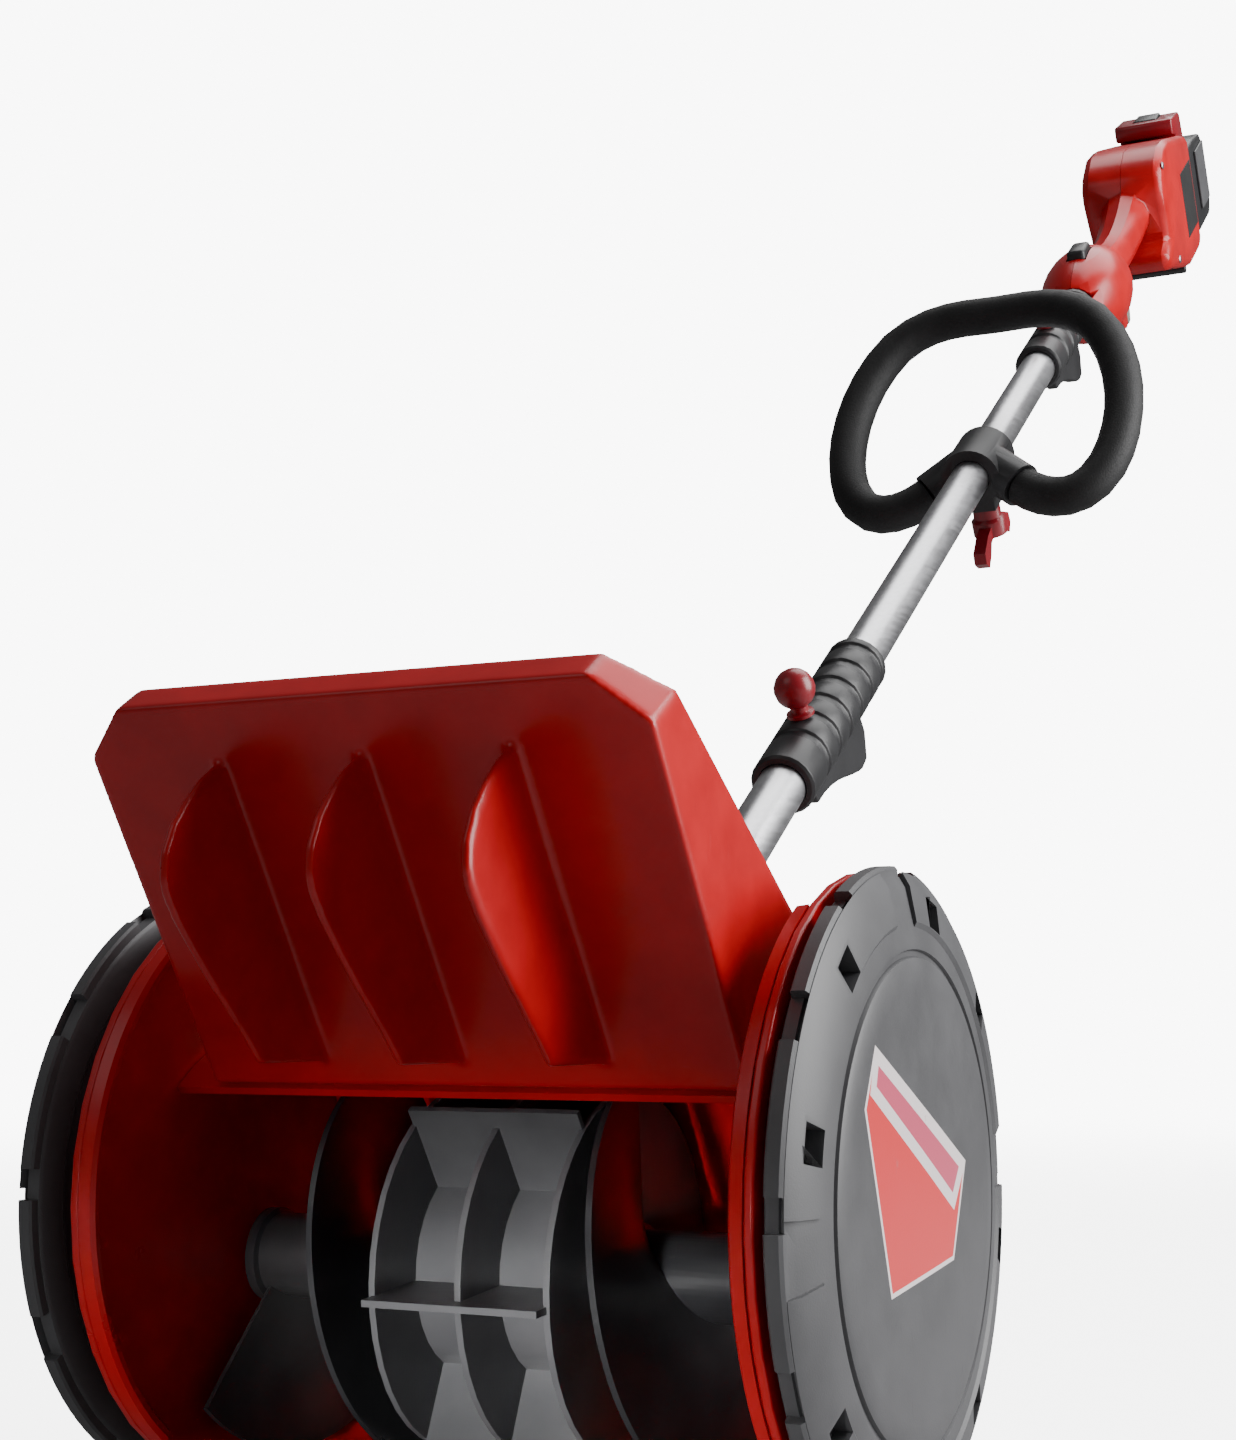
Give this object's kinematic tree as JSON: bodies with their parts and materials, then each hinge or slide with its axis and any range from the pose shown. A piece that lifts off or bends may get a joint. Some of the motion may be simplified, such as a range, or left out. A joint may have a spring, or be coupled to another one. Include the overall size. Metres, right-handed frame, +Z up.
{
  "type": "cordless snow shovel",
  "caption": "Battery-powered snow shovel: wheeled auger head with a forward-leaning hood, jointed straight shaft, sliding loop handle and trigger grip with a lift-off battery.",
  "frame": {"origin": "middle of the rear grip, on the shaft centre line, where a hand holds it", "axes": "+X to the machine's right, +Y back along the ground from the auger mouth to the user, +Z up with the tool in its working pose"},
  "size_m": [0.3097, 1.4157, 0.9758],
  "materials": {
    "red_plastic": "semi-gloss moulded",
    "dark_red_plastic": "semi-gloss moulded",
    "dark_grey_plastic": "fine texture",
    "trigger_grey": "fine texture",
    "black_plastic": "fine texture",
    "satin_aluminium": "satin drawn tube",
    "steel": "turned",
    "belt_rubber": "matt"
  },
  "bodies": {
    "frame": {"auger_bearing_left": "steel", "auger_bearing_right": "steel", "axle_left": "steel", "axle_right": "steel", "battery_dock": "black_plastic", "coupler_1": "black_plastic", "coupler_1_hook": "black_plastic", "coupler_2": "black_plastic", "coupler_2_hook": "black_plastic", "drive_belt": "belt_rubber", "drive_case": "black_plastic", "drum_shell": "red_plastic", "grip_shell_left": "red_plastic", "grip_shell_right": "red_plastic", "heel_foot_1": "black_plastic", "heel_foot_2": "black_plastic", "hood": "red_plastic", "hood_vane_1": "red_plastic", "hood_vane_2": "red_plastic", "hood_vane_3": "red_plastic", "lower_tube": "satin_aluminium", "middle_tube": "satin_aluminium", "motor_can": "steel", "motor_cradle": "black_plastic", "rear_cover": "red_plastic", "scraper_blade": "black_plastic", "side_panel_left": "black_plastic", "side_panel_right": "black_plastic", "side_plate_left": "red_plastic", "side_plate_right": "red_plastic", "switch_box": "black_plastic", "trigger_pin": "steel", "tube_socket": "black_plastic", "upper_tube": "satin_aluminium"},
    "auger": {"auger_paddles": "black_plastic", "auger_flight_left": "black_plastic", "auger_flight_right": "black_plastic", "auger_shaft": "steel", "auger_pulley": "dark_grey_plastic"},
    "motor_rotor": {"motor_shaft": "steel", "motor_pulley": "dark_grey_plastic"},
    "right_wheel": {"wheel_right": "dark_grey_plastic", "wheel_cap_right": "dark_grey_plastic"},
    "left_wheel": {"wheel_left": "dark_grey_plastic", "wheel_cap_left": "dark_grey_plastic"},
    "lower_knob": {"coupler_1_knob": "dark_red_plastic"},
    "upper_knob": {"coupler_2_knob": "dark_red_plastic"},
    "handle": {"loop_handle": "black_plastic", "handle_clamp": "black_plastic"},
    "handle_wing_knob": {"wing_knob": "dark_red_plastic"},
    "trigger_lever": {"trigger": "trigger_grey"},
    "lockoff": {"lockoff_button": "black_plastic"},
    "battery": {"battery_pack": "black_plastic", "battery_cap": "dark_red_plastic", "battery_band_left": "dark_grey_plastic", "battery_band_right": "dark_grey_plastic"},
    "latch": {"battery_latch": "black_plastic"}
  },
  "joints": [
    {"name": "auger_spin", "type": "hinge", "parent": "frame", "child": "auger", "pos_m": [0, -0.9831, -0.71341], "axis": [1, 0, 0], "continuous": true},
    {"name": "motor_spin", "type": "hinge", "parent": "frame", "child": "motor_rotor", "pos_m": [0, -0.8711, -0.68341], "axis": [1, 0, 0], "continuous": true},
    {"name": "right_wheel_spin", "type": "hinge", "parent": "frame", "child": "right_wheel", "pos_m": [0.1326, -0.9831, -0.68341], "axis": [1, 0, 0], "continuous": true},
    {"name": "left_wheel_spin", "type": "hinge", "parent": "frame", "child": "left_wheel", "pos_m": [-0.1451, -0.9831, -0.68341], "axis": [1, 0, 0], "continuous": true},
    {"name": "lower_knob_turn", "type": "hinge", "parent": "frame", "child": "lower_knob", "pos_m": [0, -0.71315, -0.47192], "axis": [0, -0.5678, 0.8231], "range_deg": [0, 360]},
    {"name": "upper_knob_turn", "type": "hinge", "parent": "frame", "child": "upper_knob", "pos_m": [0, -0.21515, -0.12838], "axis": [0, -0.5678, 0.8231], "range_deg": [0, 360]},
    {"name": "handle_slide", "type": "slide", "parent": "frame", "child": "handle", "axis": [0, 0.8231, 0.5678], "range_m": [-0.16, 0.12]},
    {"name": "wing_knob_turn", "type": "hinge", "parent": "handle", "child": "handle_wing_knob", "pos_m": [0, -0.38034, -0.29397], "axis": [0, 0.5678, -0.8231], "range_deg": [0, 360]},
    {"name": "trigger_pull", "type": "hinge", "parent": "frame", "child": "trigger_lever", "pos_m": [0, 0.00071, -0.00984], "axis": [1, 0, 0], "range_deg": [0, 12], "stiffness_Nm_per_rad": 0.4, "springref_deg": -8.59},
    {"name": "lockoff_press", "type": "slide", "parent": "frame", "child": "lockoff", "axis": [0, 0.5678, -0.8231], "range_m": [0, 0.003], "stiffness_N_per_m": 400, "springref_m": -0.002},
    {"name": "battery_slide", "type": "slide", "parent": "frame", "child": "battery", "axis": [0, -0.5678, 0.8231], "range_m": [0, 0.09]},
    {"name": "latch_press", "type": "slide", "parent": "battery", "child": "latch", "axis": [0, 0.5678, -0.8231], "range_m": [0, 0.0022], "stiffness_N_per_m": 400, "springref_m": -0.001}
  ],
  "couplings": [
    {"joint": "motor_spin", "follows": "auger_spin", "ratio": 3.8824}
  ]
}
